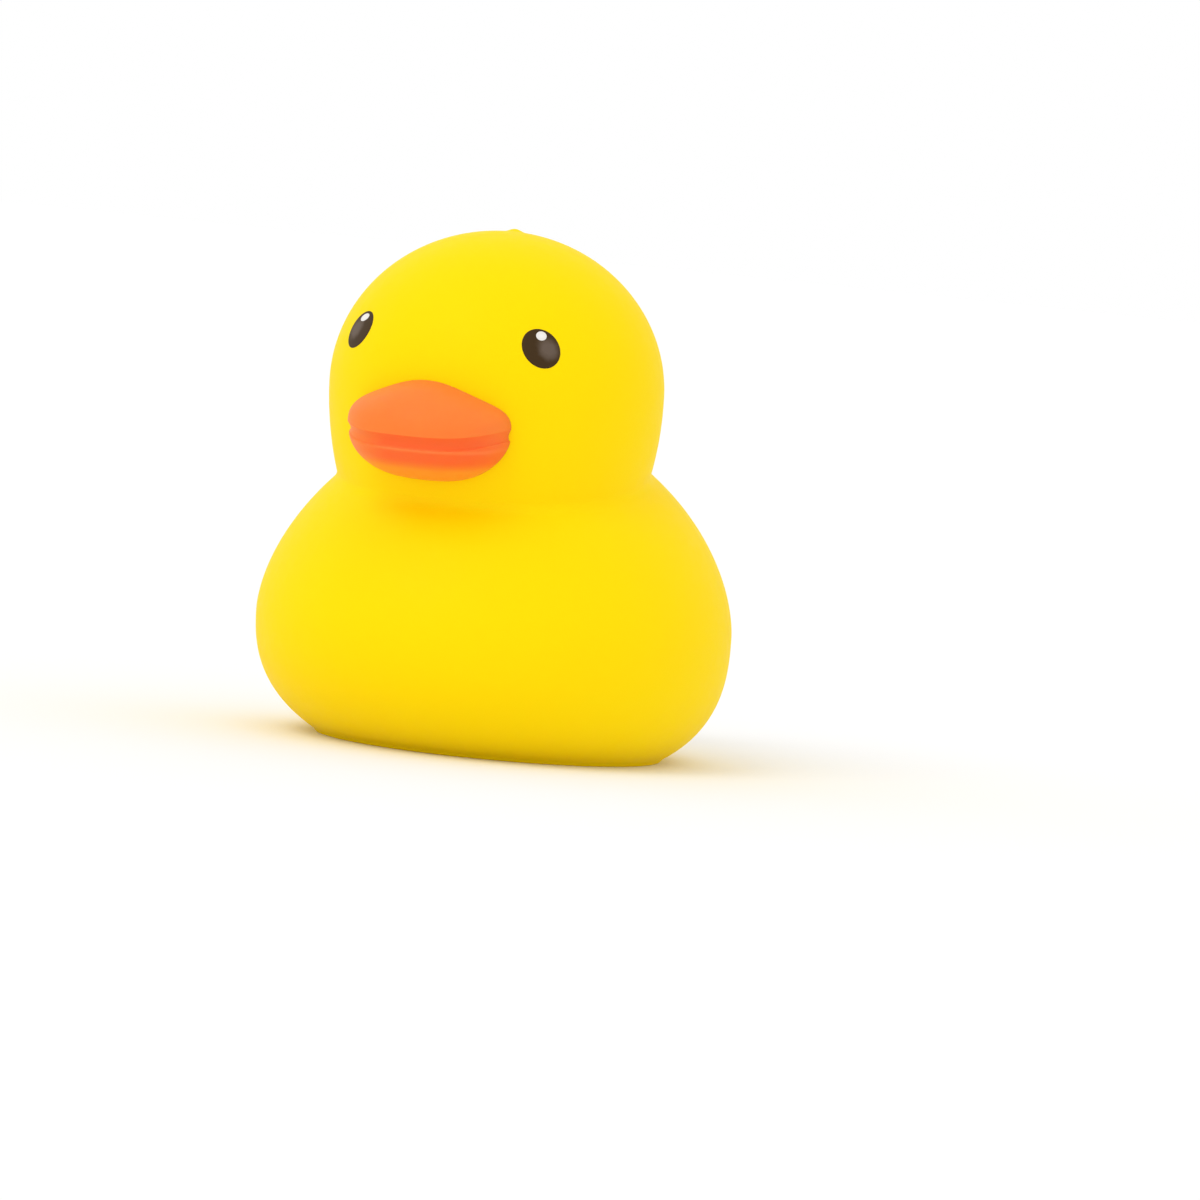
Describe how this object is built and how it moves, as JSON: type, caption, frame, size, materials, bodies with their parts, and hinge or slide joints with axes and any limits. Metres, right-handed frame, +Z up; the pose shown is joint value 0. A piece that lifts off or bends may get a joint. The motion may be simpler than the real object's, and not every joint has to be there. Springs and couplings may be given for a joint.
{
  "type": "squishy duck",
  "caption": "Soft foam squeeze toy in the shape of a bath duck: round head, wide flat-bottomed body, short upturned tail and a broad two-lipped bill.",
  "frame": {"origin": "middle of the flat base, in the plane the duck stands on", "axes": "+Z up, the duck faces -Y, its left side is at +X, its tail points to +Y"},
  "size_m": [0.116, 0.1369, 0.1277],
  "materials": {
    "yellow_foam": "satin",
    "bill_paint": "satin",
    "eye_paint": "satin",
    "glint_paint": "satin"
  },
  "bodies": {
    "root": {"foam_duck": "yellow_foam"}
  },
  "joints": []
}
